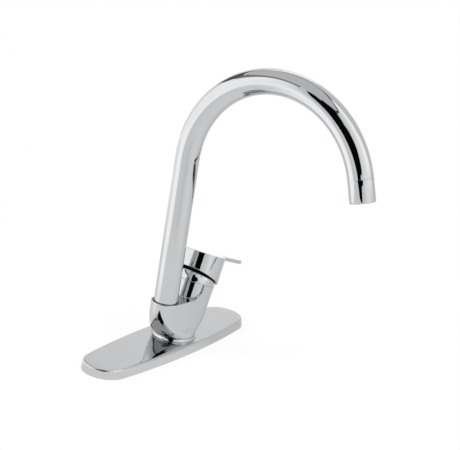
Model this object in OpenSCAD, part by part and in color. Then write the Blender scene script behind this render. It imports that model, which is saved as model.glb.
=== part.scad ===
// Single-lever kitchen sink mixer with a high swivel spout, a leaning side barrel and a deck plate.
// Millimetres. +Z is up, -Y is the front where the water comes out, +X is the lever side.
// The origin is the middle of the deck plate's underside.

/* [Deck plate] */
// Length of the plate from end to end
plate_length = 254; // [220:1:280]
// Width of the plate's foot line at its middle
plate_width = 62; // [60:1:70]
// Radius of the bowed long sides at the foot line
plate_side_radius = 885; // [700:1:1400]
// Width of the plate's top face at its middle
plate_top_width = 58.5; // [56:0.5:60]
// Radius of the bowed long sides at the top face
plate_top_radius = 890; // [700:1:1400]
// How far the top face is drawn in at each end
plate_end_draw = 1.4; // [0.8:0.1:3]
// Height of the plate
plate_height = 9.6; // [8.5:0.1:14]
// Wall of the plate's shell
plate_wall = 2.2; // [1.5:0.1:3]
// Radius of the rounded rim round the top face
plate_rim = 1.3; // [0.6:0.1:1.6]
// Radius of the hole for hoses and stud
plate_hole_r = 14.2; // [13.2:0.1:14.2]
// Distance of that hole's centre from the plate's centre
plate_hole_x = 15; // [14.8:0.1:15.2]
// Thickness of the rubber gasket under the plate
gasket_thick = 2; // [1:0.1:3]
// Thickness of the support frame's outer wall and ribs
frame_wall = 2.4; // [1.6:0.1:4]
// Number of cross ribs on each side of the support frame's hub
frame_ribs = 3; // [1:1:5]

/* [Foot] */
// Distance of the foot's centre from the plate's centre
foot_x = 10.5; // [6:0.5:14]
// Radius of the foot ring where it meets the plate
foot_ring_r = 23.8; // [23:0.1:24.4]
// Height of the foot ring
foot_ring_h = 3; // [2.5:0.1:5]
// Flare of the foot ring, its foot beyond its top
foot_flare = 0.9; // [0.3:0.1:1.4]
// Step from the foot ring's top in to the body
foot_step = 0.7; // [0.3:0.1:1.5]
// Radius of the body's round tenon inside the foot ring
tenon_r = 17.3; // [17.1:0.1:17.8]
// Depth of the seal groove under the foot ring
seal_depth = 1.4; // [0.8:0.1:1.8]
// Radial width of the foot seal
seal_width = 2.2; // [1.2:0.1:2.6]

/* [Body] */
// Distance of the riser's axis from the plate's centre, towards the left
riser_back = 14; // [12:0.5:18]
// Height of the collar's mouth above the plate
collar_h = 43; // [40:0.5:52]
// Outside radius of the collar round the riser
collar_r = 15.2; // [15:0.1:17]
// Depth below the collar's mouth down to which the collar's wall is upright
waist_drop = 10; // [8:0.5:20]
// Fullness of the body's lower left side, smaller is fuller
waist_power = 0.75; // [0.6:0.05:1]
// Distance of the barrel's axis from the plate's centre, at the plate's top
barrel_x = 18.9; // [16:0.1:20]
// Lean of the barrel towards the lever side
barrel_tilt = 17.5; // [12:0.5:22]
// Length of the barrel along its axis, from the plate's top
barrel_len = 57; // [55:0.5:64]
// Outside radius of the barrel at its rim
barrel_top_r = 21.7; // [20.8:0.1:21.8]
// Outside radius of the barrel at its foot
barrel_low_r = 20.2; // [19.4:0.1:20.6]
// Distance from the barrel's axis to the edge of the saddle
saddle_edge = 12; // [9:0.5:13]
// Radius of the saddle's rounded corner
saddle_r = 8; // [5:0.5:10]

/* [Water ways] */
// Radius of the threaded hose inlets, at the thread's crest
inlet_r = 4.5; // [4:0.1:5]
// Depth of the hose inlets
inlet_depth = 10; // [8:0.5:13]
// Distance of each hose inlet from the middle plane
inlet_y = 7.6; // [7:0.1:8.5]
// Distance of the hose inlets from the plate hole's centre, towards the left
inlet_back = 2.5; // [0:0.5:3]
// Radius of the threaded stud hole, at the thread's crest
stud_hole_r = 3.4; // [2.5:0.1:3.8]
// Depth of the stud hole
stud_depth = 14; // [10:0.5:15]
// Distance of the stud hole from the plate hole's centre, towards the right
stud_x = 7.5; // [7:0.5:8]

/* [Spout] */
// Outside diameter of the spout tube
tube_d = 25; // [22:0.1:25.2]
// Wall of the spout tube
tube_wall = 1.2; // [0.8:0.1:1.6]
// Height of the riser's straight part above the plate
riser_h = 196; // [120:1:260]
// Radius of the spout's bend, at the tube's axis
bend_r = 97; // [70:1:130]
// Angle that the bend turns through
bend_angle = 162; // [120:1:180]
// Radial running clearance of the spout in its socket
swivel_gap = 0.1; // [0.05:0.01:0.1]
// Depth of the spout's socket below the collar's mouth
socket_depth = 19; // [18.8:0.1:19.5]
// Thickness of the lower slip ring
slip_thick = 1.2; // [0.8:0.1:1.5]
// Wall of the upper slip ring
slip_wall = 1.15; // [0.8:0.05:1.2]
// Height of the upper slip ring
slip_h = 3.4; // [2.4:0.1:3.6]
// Depth of the upper slip ring's top below the collar's mouth
slip_sink = 0.6; // [0.3:0.1:1]
// How far the tube reaches down into the collar
tube_entry = 3; // [2:0.1:4]
// Radius of the shank's water bore
shank_bore_r = 8.2; // [7:0.1:8.4]
// Length of the shank's spigot inside the tube
shank_spigot = 10; // [6:0.5:20]
// Radius of the spout O-rings' section
oring_r = 1.3; // [1:0.05:1.35]
// Radius of the screw that keeps the spout in its socket
keep_screw_r = 1.5; // [1.2:0.1:1.5]

/* [Outlet] */
// Length of the outlet sleeve
sleeve_len = 22; // [15.5:0.5:30]
// Length of the sleeve's spigot inside the tube
sleeve_spigot = 4; // [2:0.5:5]
// Wall of the sleeve round the aerator
sleeve_wall = 1.5; // [1.2:0.1:2]
// Depth of the aerator's seat, from the sleeve's top
aerator_seat = 6; // [5:0.5:7]
// Thickness of the aerator washer
washer_thick = 1.6; // [1:0.1:2]
// Thickness of the aerator screen
screen_thick = 0.6; // [0.4:0.1:1]
// Height of the flow straightener
straightener_h = 5.5; // [3:0.5:6]
// Wall of the aerator housing
aerator_wall = 1.1; // [0.8:0.1:1.5]
// Width of the straightener's cells
cell_w = 2.4; // [2:0.1:3]

/* [Cartridge] */
// Radius of the cartridge
cartridge_r = 17.5; // [17:0.1:17.7]
// Height of the gap under the cartridge that the port seals close
port_gap = 0.6; // [0.4:0.1:0.9]
// Height of the cartridge base
base_h = 6.4; // [5:0.1:6.8]
// Thickness of the fixed ceramic disc
fixed_disc_h = 3.8; // [3:0.1:4.2]
// Thickness of the moving ceramic disc
moving_disc_h = 3.7; // [3:0.1:4]
// Radius of the moving ceramic disc
moving_disc_r = 11; // [10:0.1:11.2]
// Thickness of the disc driver
driver_h = 7; // [6.4:0.1:7.4]
// Thickness of the stem carrier's flange
flange_h = 3; // [2:0.1:3.5]
// Thickness of the cartridge housing's roof
roof_h = 1.7; // [1.2:0.1:2.2]
// Length of the cartridge nut's thread
nut_thread = 3; // [2.5:0.1:4]
// Height of the cartridge nut's collar above its thread
nut_collar = 4.2; // [3.8:0.1:5]
// Radius of the water inlet ports
port_in_r = 2.8; // [2:0.1:3]
// Radius of the mixed water port
port_out_r = 3.6; // [3:0.1:3.8]
// Radial width of the port seals
port_seal_w = 1.2; // [0.8:0.1:1.4]
// Width of the square stem
stem_w = 8; // [7:0.1:9]
// Radius of the stem's ball end
ball_r = 2.5; // [2:0.1:3]
// Distance from the stem pin to the middle of the ball end
ball_arm = 11.1; // [10.6:0.1:11.4]
// Radius of the stem pin
stem_pin_r = 2; // [1.5:0.1:2.4]

/* [Handle] */
// Outside radius of the handle's cap
cap_r = 24; // [23.2:0.1:27]
// Wall of the handle's cap
cap_wall = 1.8; // [1.2:0.1:2]
// Height of the cap's top above the stem pin
cap_top = 32.5; // [32:0.5:37]
// Thickness of the cap's roof
cap_roof = 4; // [3.6:0.1:4.4]
// Height of the cap's lower edge above the stem pin, at the axis
skirt_mid = 7.3; // [7:0.1:12]
// Slope of the cap's lower edge, down towards the lever
skirt_slope = 17; // [5:0.5:17]
// Reach of the lever's tip from the cap's axis
lever_reach = 73; // [50:0.5:95]
// Width of the lever at the cap
lever_root_w = 20; // [12:0.5:22]
// Width of the lever at its tip
lever_tip_w = 17; // [10:0.5:20]
// Thickness of the lever
lever_thick = 4; // [2.5:0.1:4.2]
// Radius of the lever's tip corners
lever_corner = 3; // [1:0.5:4.5]
// Radius of the boss that holds the stem
boss_r = 7.8; // [7:0.1:9]
// Length of the boss below the cap's roof
boss_len = 7; // [5:0.1:7]
// Radius of the handle's set screw
set_screw_r = 2.4; // [2:0.1:2.6]
// Length of the handle's set screw
set_screw_len = 8; // [5:0.5:10]
// Radius of the index plug over the set screw
plug_r = 3; // [2.8:0.1:3.2]
// Length of the index plug
plug_len = 3.6; // [2:0.1:5]
// Radius of the opening in the bonnet's top
bonnet_hole_r = 14; // [13:0.1:15]
// Wall of the bonnet
bonnet_wall = 1.8; // [1.2:0.1:2]

/* [Hidden] */

$fn = 96;
// Overlap that lets one cut run cleanly into another
cut = 0.5;
// Clearance between fixed pieces that slip together
slip_fit = 0.1;
// Clearance round the gasket inside the plate's wall
gasket_gap = 0.6;
// Clearance beside pieces that slide or turn inside the cartridge
free_gap = 0.3;
// Radial clearance of the turning stem carrier and of the stem pin
pin_gap = 0.05;
turn_gap = 0.1;
// Colours of the finishes
chrome = "gainsboro";
brass = "darkkhaki";
rubber = "dimgray";
white_plastic = "whitesmoke";
grey_plastic = "silver";
ceramic = "ivory";
steel = "lightslategray";

// Riser and spout
riser_x = -riser_back;
socket_floor = collar_h - socket_depth;
waist_h = collar_h - foot_ring_h - waist_drop;
tube_r = tube_d / 2;
tube_bore_r = tube_r - tube_wall;
bend_z = plate_height + riser_h;
socket_r = tube_r + swivel_gap;
shank_bottom = plate_height + socket_floor + slip_thick + slip_fit;
tube_bottom = plate_height + collar_h - tube_entry;
shank_len = tube_bottom - shank_bottom;
slip_seat_r = socket_r + slip_wall + slip_fit / 2;
slip_top = plate_height + collar_h - slip_sink;
oring_ring_r = socket_r - swivel_gap / 2 - oring_r;
oring_groove_w = 2 * oring_r + 2 * slip_fit;
oring_groove_r = oring_ring_r - oring_r - slip_fit / 2;
land = 1.3;
groove_step = oring_groove_w + land;
keep_groove_w = 2 * keep_screw_r + slip_fit;
keep_groove_r = tube_r - 1.6;
keep_land = 0.6;
keep_groove_z = slip_top - slip_h - keep_screw_r - keep_land;
keep_tip_r = keep_screw_r - free_gap;
keep_tip_in = keep_groove_r + 0.4;
sump_r = 7;
sump_depth = 7;

// Foot
foot_top = plate_height + foot_ring_h;
body_foot_r = foot_ring_r - foot_flare - foot_step;
seal_r = tenon_r + slip_fit + 1.2;

// Lowest slice of the barrel in the body's skin, where its right side clears the foot ring
barrel_low_z = (foot_ring_h + 6) / cos(barrel_tilt) + barrel_low_r * tan(barrel_tilt);
// Barrel frame: z runs along the barrel's axis, x runs out towards the lever
pivot = barrel_len;
nut_depth = nut_thread + 1.65;
cavity_floor = barrel_len - nut_depth - roof_h - free_gap - flange_h - free_gap
    - driver_h - moving_disc_h - turn_gap / 2 - fixed_disc_h - base_h - port_gap;
cavity_r = cartridge_r + slip_fit;
thread_r = cartridge_r + 0.7;
base_z = cavity_floor + port_gap;
fixed_z = base_z + base_h;
moving_z = fixed_z + fixed_disc_h + turn_gap / 2;
driver_z = moving_z + moving_disc_h;
flange_z = driver_z + driver_h + free_gap;
roof_z = flange_z + flange_h + free_gap;
shoulder_z = roof_z + roof_h;
nut_top = shoulder_z + nut_thread;
chamber_r = cartridge_r - 1.4;
neck_r = 13.4;
neck_bore_r = 11.35;
neck_top = pivot + 3.4;
carrier_neck_r = neck_bore_r - turn_gap;
carrier_top = pivot + 3.2;
flange_r = chamber_r - 0.5;
slot_w = stem_w + 0.4;
slot_half = 9;
driver_half = 8;
driver_r = 10.4;
rail_out = 10.4;
socket_ball_r = ball_r + free_gap;
nut_bore_r = neck_r + 0.2;
nut_collar_r = 16.4;
spigot_h = 1.5;
bonnet_r = barrel_top_r - 0.2;
bonnet_bore_r = bonnet_r - bonnet_wall;
bonnet_oring_r = (bonnet_bore_r - nut_collar_r) / 2 - 2 * slip_fit;
port_in = [3, 6.8];
port_out = [-7.5, 0];
key_pin = [-3, 14];
key_pin_r = 1.2;
key_pin_len = 2.2;
lug_y = 5.5;
lug_r = 1.4;
lug_h = 1.5;

// Handle
cap_bore_r = cap_r - cap_wall;
roof_under = pivot + cap_top - cap_roof;
stem_top = roof_under;
boss_bottom = roof_under - boss_len;
screw_z = roof_under - boss_len / 2;
rib_w = 2 * set_screw_r + 4;

// Outlet
aerator_r = tube_r - sleeve_wall;
sleeve_bore_r = aerator_r - 1.6;
housing_bore_r = aerator_r - slip_fit / 2 - aerator_wall;
screen_z = aerator_seat + washer_thick;
housing_len = sleeve_len - screen_z - 0.7;
straightener_z = screen_z + screen_thick;

// Radius of a plate outline's rounded ends, so that they run smoothly into the bowed sides
function end_radius(half_l, half_w, side_r) =
    (2 * side_r * half_w - half_w * half_w - half_l * half_l) / (2 * side_r - 2 * half_l);
// Points along an arc, both ends included
function arc(cx, cy, r, from, to, steps) =
    [for (i = [0:steps]) let (a = from + (to - from) * i / steps) [cx + r * cos(a), cy + r * sin(a)]];
// Closed outline with two bowed sides and two round ends
function bowed_outline(half_l, half_w, side_r) =
    let (
        r = end_radius(half_l, half_w, side_r),
        cx = half_l - r,
        turn = atan2(cx, side_r - half_w)
    )
    concat(
        arc(cx, 0, r, turn - 90, 90 - turn, 20),
        arc(0, half_w - side_r, side_r, 90 - turn + 0.2, 90 + turn - 0.2, 14),
        arc(-cx, 0, r, 90 + turn, 270 - turn, 20),
        arc(0, side_r - half_w, side_r, 270 - turn + 0.2, 270 + turn - 0.2, 14)
    );
// Height share of the body's lower left side, from the foot to the collar
function waist_share(u) = pow(1 - (1 - u) * (1 - u), waist_power);
function waist_x(u) = foot_x + (riser_x - foot_x) * waist_share(u);
function waist_r(u) = body_foot_r + (collar_r - body_foot_r) * waist_share(u);

// Thin slice of the plate between its foot line and its top face: share runs from 0 to 1
module plate_slice(share, z, inset, thick) {
    side_r = plate_side_radius + (plate_top_radius - plate_side_radius) * share;
    translate([0, 0, z])
        linear_extrude(thick)
            polygon(bowed_outline(
                plate_length / 2 - plate_end_draw * share - inset,
                (plate_width + (plate_top_width - plate_width) * share) / 2 - inset,
                side_r - inset
            ));
}

// Frames that children are placed in
module at_barrel() {
    translate([barrel_x, 0, plate_height])
        rotate([0, barrel_tilt, 0])
            children();
}
module at_riser(z = 0) {
    translate([riser_x, 0, z])
        children();
}
module at_bend() {
    translate([riser_x, -bend_r, bend_z])
        rotate([90, 0, 90])
            children();
}
module at_outlet() {
    at_bend()
        rotate([0, 0, bend_angle])
            translate([bend_r, 0, 0])
                rotate([-90, 0, 0])
                    children();
}

// Flat ring with its foot at z
module ring(outer, inner, h, z = 0) {
    translate([0, 0, z])
        difference() {
            cylinder(r = outer, h = h);
            translate([0, 0, -cut])
                cylinder(r = inner, h = h + 2 * cut);
        }
}
// Round bar from one point to another
module bar(from, to, r) {
    d = to - from;
    len = norm(d);
    translate(from)
        rotate([0, acos(d[2] / len), atan2(d[1], d[0])])
            cylinder(r = r, h = len);
}
// Rubber ring of round section
module o_ring(ring_r, section_r) {
    rotate_extrude()
        translate([ring_r, 0])
            circle(r = section_r);
}
// Point of the barrel frame, given in the part's frame
function barrel_point(x, y, z) = [
    barrel_x + z * sin(barrel_tilt) + x * cos(barrel_tilt),
    y,
    plate_height + z * cos(barrel_tilt) - x * sin(barrel_tilt)
];

module hose_hole(z, h) {
    translate([plate_hole_x, 0, z])
        cylinder(r = plate_hole_r, h = h);
}

module deck_plate() {
    share_top = 1 - plate_rim / plate_height;
    under = plate_height - plate_wall;
    color(chrome)
        difference() {
            hull() {
                plate_slice(0, 0, 0, 0.1);
                plate_slice(share_top, plate_height - plate_rim, 0, 0.05);
                plate_slice(share_top, plate_height - 0.4 * plate_rim, 0.2 * plate_rim, 0.05);
                plate_slice(1, plate_height - 0.05, 0.9 * plate_rim, 0.05);
            }
            hull() {
                plate_slice(0, -cut, plate_wall, 0.1);
                plate_slice(under / plate_height, under - 0.1, plate_wall, 0.1);
            }
            hose_hole(-cut, plate_height + 2 * cut);
        }
}

module plate_frame() {
    top = plate_height - plate_wall - slip_fit;
    inset = plate_wall + slip_fit;
    hub_r = plate_hole_r + frame_wall;
    bay = (plate_length / 2 - inset) / (frame_ribs + 1);
    color(grey_plastic)
        difference() {
            plate_slice(top / plate_height, gasket_thick, inset, top - gasket_thick);
            difference() {
                plate_slice(top / plate_height, gasket_thick - cut, inset + frame_wall, top);
                translate([plate_hole_x, 0, 0])
                    cylinder(r = hub_r, h = top);
                translate([-plate_length / 2, -frame_wall / 2, 0])
                    cube([plate_length, frame_wall, top]);
                for (side = [-1, 1], i = [1:frame_ribs])
                    translate([side * i * bay - frame_wall / 2, -plate_width / 2, 0])
                        cube([frame_wall, plate_width, top]);
            }
            hose_hole(0, plate_height);
        }
}

module plate_gasket() {
    color(rubber)
        difference() {
            plate_slice(gasket_thick / plate_height, 0, plate_wall + gasket_gap, gasket_thick);
            hose_hole(-cut, gasket_thick + 2 * cut);
        }
}

module foot_ring() {
    color(chrome)
        translate([foot_x, 0, plate_height])
            difference() {
                cylinder(r1 = foot_ring_r, r2 = foot_ring_r - foot_flare, h = foot_ring_h);
                translate([0, 0, -cut])
                    cylinder(r = tenon_r + slip_fit, h = foot_ring_h + 2 * cut);
                ring(seal_r + seal_width + slip_fit, seal_r - slip_fit, seal_depth + cut, -cut);
            }
}

module foot_seal() {
    color(rubber)
        translate([foot_x, 0, plate_height])
            ring(seal_r + seal_width, seal_r, seal_depth - slip_fit);
}

// Outer form of the casting: foot, upright collar and leaning barrel drawn into one skin
module body_skin() {
    slice = 0.5;
    under = 0.4;
    below_rim = 5;
    hull() {
        for (u = [0, 0.3, 0.65, 1])
            translate([waist_x(u), 0, foot_top + waist_h * u])
                cylinder(r = waist_r(u), h = slice, $fn = 32);
        at_riser(plate_height + collar_h - slice)
            cylinder(r = collar_r, h = slice, $fn = 48);
        at_barrel()
            translate([0, 0, barrel_low_z])
                cylinder(
                    r1 = barrel_low_r - under,
                    r2 = barrel_top_r - under,
                    h = barrel_len - barrel_low_z - below_rim,
                    $fn = 48
                );
    }
}

// Space cut out between the riser and the barrel, with a rounded corner
module saddle() {
    corner_h = collar_h + saddle_r;
    corner_x = -saddle_edge - saddle_r;
    corner_z = (corner_h + corner_x * sin(barrel_tilt)) / cos(barrel_tilt);
    corner = barrel_point(corner_x, 0, corner_z);
    wide = 2 * barrel_top_r + 20;
    tall = barrel_len;
    translate([corner[0], wide / 2, corner[2]])
        rotate([90, 0, 0])
            cylinder(r = saddle_r, h = wide);
    translate([corner[0] - tall, -wide / 2, plate_height + collar_h])
        cube([tall, wide, tall]);
    at_barrel()
        translate([-saddle_edge - tall, -wide / 2, corner_z])
            cube([tall, wide, tall]);
}

module water_ways() {
    // Hose inlets, each with a slanted way up to its port
    for (side = [-1, 1]) {
        foot = [plate_hole_x - inlet_back, side * inlet_y, plate_height];
        translate(foot - [0, 0, cut])
            cylinder(r = inlet_r, h = inlet_depth + cut);
        bar(foot + [0, 0, inlet_depth - port_in_r], barrel_point(port_in[0], side * port_in[1], cavity_floor + cut), port_in_r);
    }
    // Mixed water way from the cartridge down to the sump under the spout
    bar([riser_x, 0, plate_height + socket_floor - sump_depth / 2],
        barrel_point(port_out[0], port_out[1], cavity_floor + cut), port_out_r);
    at_riser(plate_height + socket_floor - sump_depth)
        cylinder(r = sump_r, h = sump_depth + cut);
    // Stud hole
    translate([plate_hole_x + stud_x, 0, plate_height - cut])
        cylinder(r = stud_hole_r, h = stud_depth + cut);
}

module mixer_body() {
    color(chrome)
        difference() {
            union() {
                difference() {
                    body_skin();
                    saddle();
                }
                at_barrel()
                    translate([0, 0, barrel_low_z + 4])
                        cylinder(
                            r1 = barrel_low_r + (barrel_top_r - barrel_low_r) * 4 / (barrel_len - barrel_low_z),
                            r2 = barrel_top_r,
                            h = barrel_len - barrel_low_z - 4
                        );
                translate([foot_x, 0, plate_height])
                    cylinder(r = tenon_r, h = foot_ring_h + cut);
            }
            // Spout socket, with the upper slip ring's seat
            at_riser(plate_height + socket_floor)
                cylinder(r = socket_r, h = collar_h);
            at_riser(slip_top - slip_h - slip_fit / 2)
                cylinder(r = slip_seat_r, h = collar_h);
            translate([riser_x, 0, keep_groove_z])
                rotate([0, -90, 0])
                    cylinder(r = keep_screw_r + slip_fit / 2, h = collar_r + 2 * cut);
            // Cartridge cavity, with the nut's thread and the key pins' holes
            at_barrel() {
                translate([0, 0, cavity_floor])
                    cylinder(r = cavity_r, h = barrel_len);
                translate([0, 0, shoulder_z - cut])
                    cylinder(r = thread_r + slip_fit / 2, h = barrel_len);
                for (side = [-1, 1])
                    translate([key_pin[0], side * key_pin[1], cavity_floor - key_pin_len])
                        cylinder(r = key_pin_r + slip_fit, h = key_pin_len + cut);
            }
            water_ways();
        }
}

module lower_slip_ring() {
    color(white_plastic)
        at_riser(plate_height + socket_floor)
            ring(socket_r - 2 * slip_fit, shank_bore_r, slip_thick);
}

module upper_slip_ring() {
    color(white_plastic)
        at_riser(slip_top - slip_h)
            ring(socket_r + slip_wall, socket_r, slip_h);
}

module spout_keep_screw() {
    body_in = socket_r + 0.15;
    hex = 0.8;
    color(steel)
        translate([riser_x, 0, keep_groove_z])
            rotate([0, -90, 0])
                difference() {
                    union() {
                        translate([0, 0, body_in])
                            cylinder(r = keep_screw_r, h = collar_r - 0.2 - body_in);
                        translate([0, 0, keep_tip_in])
                            cylinder(r = keep_tip_r, h = body_in - keep_tip_in + cut);
                    }
                    translate([0, 0, collar_r - 0.2 - 1.2])
                        cylinder(r = hex, h = 2, $fn = 6);
                }
}

module spout_tube() {
    color(chrome)
        difference() {
            union() {
                at_riser(tube_bottom)
                    cylinder(r = tube_r, h = bend_z - tube_bottom);
                at_bend()
                    rotate_extrude(angle = bend_angle)
                        translate([bend_r, 0])
                            circle(r = tube_r);
            }
            at_riser(tube_bottom - cut)
                cylinder(r = tube_bore_r, h = bend_z - tube_bottom + cut);
            at_bend()
                rotate_extrude(angle = bend_angle)
                    translate([bend_r, 0])
                        circle(r = tube_bore_r);
        }
}

module spout_shank() {
    color(brass)
        at_riser(shank_bottom)
            difference() {
                union() {
                    cylinder(r = tube_r, h = shank_len);
                    cylinder(r = tube_bore_r, h = shank_len + shank_spigot);
                }
                translate([0, 0, -cut])
                    cylinder(r = shank_bore_r, h = shank_len + shank_spigot + 2 * cut);
                for (i = [0, 1])
                    ring(tube_r + cut, oring_groove_r, oring_groove_w, land + i * groove_step);
                ring(tube_r + cut, keep_groove_r, keep_groove_w, keep_groove_z - shank_bottom - keep_groove_w / 2);
            }
}

module spout_o_rings() {
    color(rubber)
        for (i = [0, 1])
            at_riser(shank_bottom + land + i * groove_step + oring_groove_w / 2)
                o_ring(oring_ring_r, oring_r);
}

module outlet_sleeve() {
    color(chrome)
        at_outlet()
            difference() {
                union() {
                    cylinder(r = tube_r, h = sleeve_len);
                    translate([0, 0, -sleeve_spigot])
                        cylinder(r = tube_bore_r - 0.4, h = sleeve_spigot + cut);
                }
                translate([0, 0, -sleeve_spigot - cut])
                    cylinder(r = sleeve_bore_r, h = sleeve_len + sleeve_spigot + 2 * cut);
                translate([0, 0, aerator_seat])
                    cylinder(r = aerator_r, h = sleeve_len);
            }
}

module aerator_washer() {
    color(rubber)
        at_outlet()
            ring(aerator_r - slip_fit, sleeve_bore_r - 1.5, washer_thick, aerator_seat);
}

module aerator_screen() {
    pitch = 2.2;
    hole = 1.3;
    reach = floor((housing_bore_r - 2) / pitch);
    color(steel)
        at_outlet()
            translate([0, 0, screen_z])
                difference() {
                    cylinder(r = aerator_r - 2 * slip_fit, h = screen_thick);
                    for (i = [-reach:reach], j = [-reach:reach])
                        if (norm([i, j]) * pitch < housing_bore_r - hole)
                            translate([i * pitch - hole / 2, j * pitch - hole / 2, -cut])
                                cube([hole, hole, screen_thick + 2 * cut]);
                }
}

module flow_straightener() {
    pitch = cell_w + 0.7;
    reach = floor(housing_bore_r / pitch);
    color(white_plastic)
        at_outlet()
            translate([0, 0, straightener_z])
                difference() {
                    cylinder(r = housing_bore_r - slip_fit, h = straightener_h);
                    for (i = [-reach:reach], j = [-reach:reach])
                        if (norm([i, j]) * pitch < housing_bore_r - cell_w)
                            translate([i * pitch - cell_w / 2, j * pitch - cell_w / 2, -cut])
                                cube([cell_w, cell_w, straightener_h + 2 * cut]);
                }
}

module aerator_housing() {
    lip = 1;
    color(chrome)
        at_outlet()
            difference() {
                union() {
                    ring(aerator_r - slip_fit / 2, housing_bore_r, housing_len - screen_thick, straightener_z);
                    ring(housing_bore_r + cut, housing_bore_r - lip, 1.2, straightener_z + straightener_h);
                }
                // Two key flats across the mouth
                for (side = [0, 180])
                    rotate([0, 0, side])
                        translate([housing_bore_r - 0.2, -1.5, straightener_z + housing_len - screen_thick - 1.4])
                            cube([3, 3, 3]);
            }
}

// Ports of the cartridge, drawn by a child cylinder's radius
module ports(z, h, extra) {
    for (side = [-1, 1])
        translate([port_in[0], side * port_in[1], z])
            cylinder(r = port_in_r + extra, h = h);
    translate([port_out[0], port_out[1], z])
        cylinder(r = port_out_r + extra, h = h);
}

module cartridge_base() {
    color(white_plastic)
        at_barrel()
            difference() {
                union() {
                    translate([0, 0, base_z])
                        cylinder(r = cartridge_r - slip_fit, h = base_h);
                    for (side = [-1, 1])
                        translate([key_pin[0], side * key_pin[1], base_z - key_pin_len])
                            cylinder(r = key_pin_r, h = key_pin_len + cut);
                }
                ports(base_z - cut, base_h + 2 * cut, 0);
                ports(base_z - cut, cut + 1.6, port_seal_w + slip_fit / 2);
            }
}

module port_seals() {
    color(rubber)
        at_barrel()
            difference() {
                ports(cavity_floor, port_gap + 1.6, port_seal_w);
                ports(cavity_floor - cut, port_gap + 1.6 + 2 * cut, 0);
            }
}

module fixed_disc() {
    color(ceramic)
        at_barrel()
            difference() {
                translate([0, 0, fixed_z])
                    cylinder(r = chamber_r - 2 * slip_fit, h = fixed_disc_h);
                ports(fixed_z - cut, fixed_disc_h + 2 * cut, 0);
            }
}

module cartridge_housing() {
    color(white_plastic)
        at_barrel()
            difference() {
                union() {
                    translate([0, 0, fixed_z])
                        cylinder(r = cartridge_r, h = shoulder_z - fixed_z);
                    translate([0, 0, fixed_z])
                        cylinder(r = neck_r, h = neck_top - fixed_z);
                }
                translate([0, 0, fixed_z - cut])
                    cylinder(r = chamber_r, h = roof_z - fixed_z + cut);
                cylinder(r = neck_bore_r, h = neck_top + cut);
            }
}

module cartridge_nut() {
    notch = 3;
    color(brass)
        at_barrel()
            difference() {
                union() {
                    translate([0, 0, shoulder_z])
                        cylinder(r = thread_r, h = nut_thread);
                    translate([0, 0, shoulder_z])
                        cylinder(r = nut_collar_r, h = nut_thread + nut_collar);
                }
                translate([0, 0, shoulder_z - cut])
                    cylinder(r = nut_bore_r, h = nut_thread + nut_collar + 2 * cut);
                for (a = [0:60:300])
                    rotate([0, 0, a])
                        translate([nut_bore_r - cut, -notch / 2, nut_top + nut_collar - 1])
                            cube([2 * notch, notch, 2]);
            }
}

module bonnet_o_ring() {
    color(rubber)
        at_barrel()
            translate([0, 0, pivot + 0.8 + slip_fit + bonnet_oring_r])
                o_ring(nut_collar_r + slip_fit / 2 + bonnet_oring_r, bonnet_oring_r);
}

module bonnet() {
    color(chrome)
        at_barrel()
            translate([0, 0, pivot]) {
                difference() {
                    sphere(r = bonnet_r);
                    sphere(r = bonnet_bore_r);
                    translate([0, 0, -bonnet_r - 1])
                        cylinder(r = 2 * bonnet_r, h = bonnet_r + 1);
                    cylinder(r = bonnet_hole_r, h = 2 * bonnet_r);
                }
                ring(thread_r - slip_fit, nut_collar_r + 0.8, spigot_h + 0.4, -spigot_h);
                ring(bonnet_r - 0.3, nut_collar_r + 0.8, 0.8);
            }
}

module moving_disc() {
    color(ceramic)
        at_barrel()
            difference() {
                translate([0, 0, moving_z])
                    cylinder(r = moving_disc_r, h = moving_disc_h);
                // Mixing pocket on the underside
                translate([-3, 0, moving_z - cut])
                    cylinder(r = 5.5, h = cut + 1.6);
                for (side = [-1, 1])
                    translate([0, side * lug_y, driver_z - lug_h - slip_fit])
                        cylinder(r = lug_r + slip_fit / 2, h = lug_h + 1);
            }
}

module disc_driver() {
    color(grey_plastic)
        at_barrel()
            difference() {
                union() {
                    intersection() {
                        translate([0, 0, driver_z])
                            cylinder(r = driver_r, h = driver_h);
                        translate([-driver_r, -driver_half, driver_z])
                            cube([2 * driver_r, 2 * driver_half, driver_h]);
                    }
                    for (side = [-1, 1])
                        translate([0, side * lug_y, driver_z - lug_h])
                            cylinder(r = lug_r, h = lug_h + cut);
                }
                translate([0, 0, pivot - ball_arm - ball_r - free_gap])
                    cylinder(r = socket_ball_r, h = driver_h);
            }
}

module stem_carrier() {
    color(white_plastic)
        at_barrel()
            difference() {
                union() {
                    translate([0, 0, flange_z])
                        cylinder(r = flange_r, h = flange_h);
                    translate([0, 0, flange_z])
                        cylinder(r = carrier_neck_r, h = carrier_top - flange_z);
                    // Rails that guide the disc driver
                    for (side = [-1, 1])
                        translate([-slot_half, side * (driver_half + rail_out) / 2 + side * free_gap / 2, driver_z + 0.7])
                            translate([0, -(rail_out - driver_half - free_gap) / 2, 0])
                                cube([2 * slot_half, rail_out - driver_half - free_gap, flange_z - driver_z]);
                }
                translate([-slot_half, -slot_w / 2, 0])
                    cube([2 * slot_half, slot_w, carrier_top + cut]);
                translate([0, carrier_neck_r + cut, pivot])
                    rotate([90, 0, 0])
                        cylinder(r = stem_pin_r, h = 2 * carrier_neck_r + 2 * cut);
            }
}

module stem_pin() {
    half = carrier_neck_r - 0.5;
    color(steel)
        at_barrel()
            translate([0, half, pivot])
                rotate([90, 0, 0])
                    cylinder(r = stem_pin_r, h = 2 * half);
}

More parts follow.
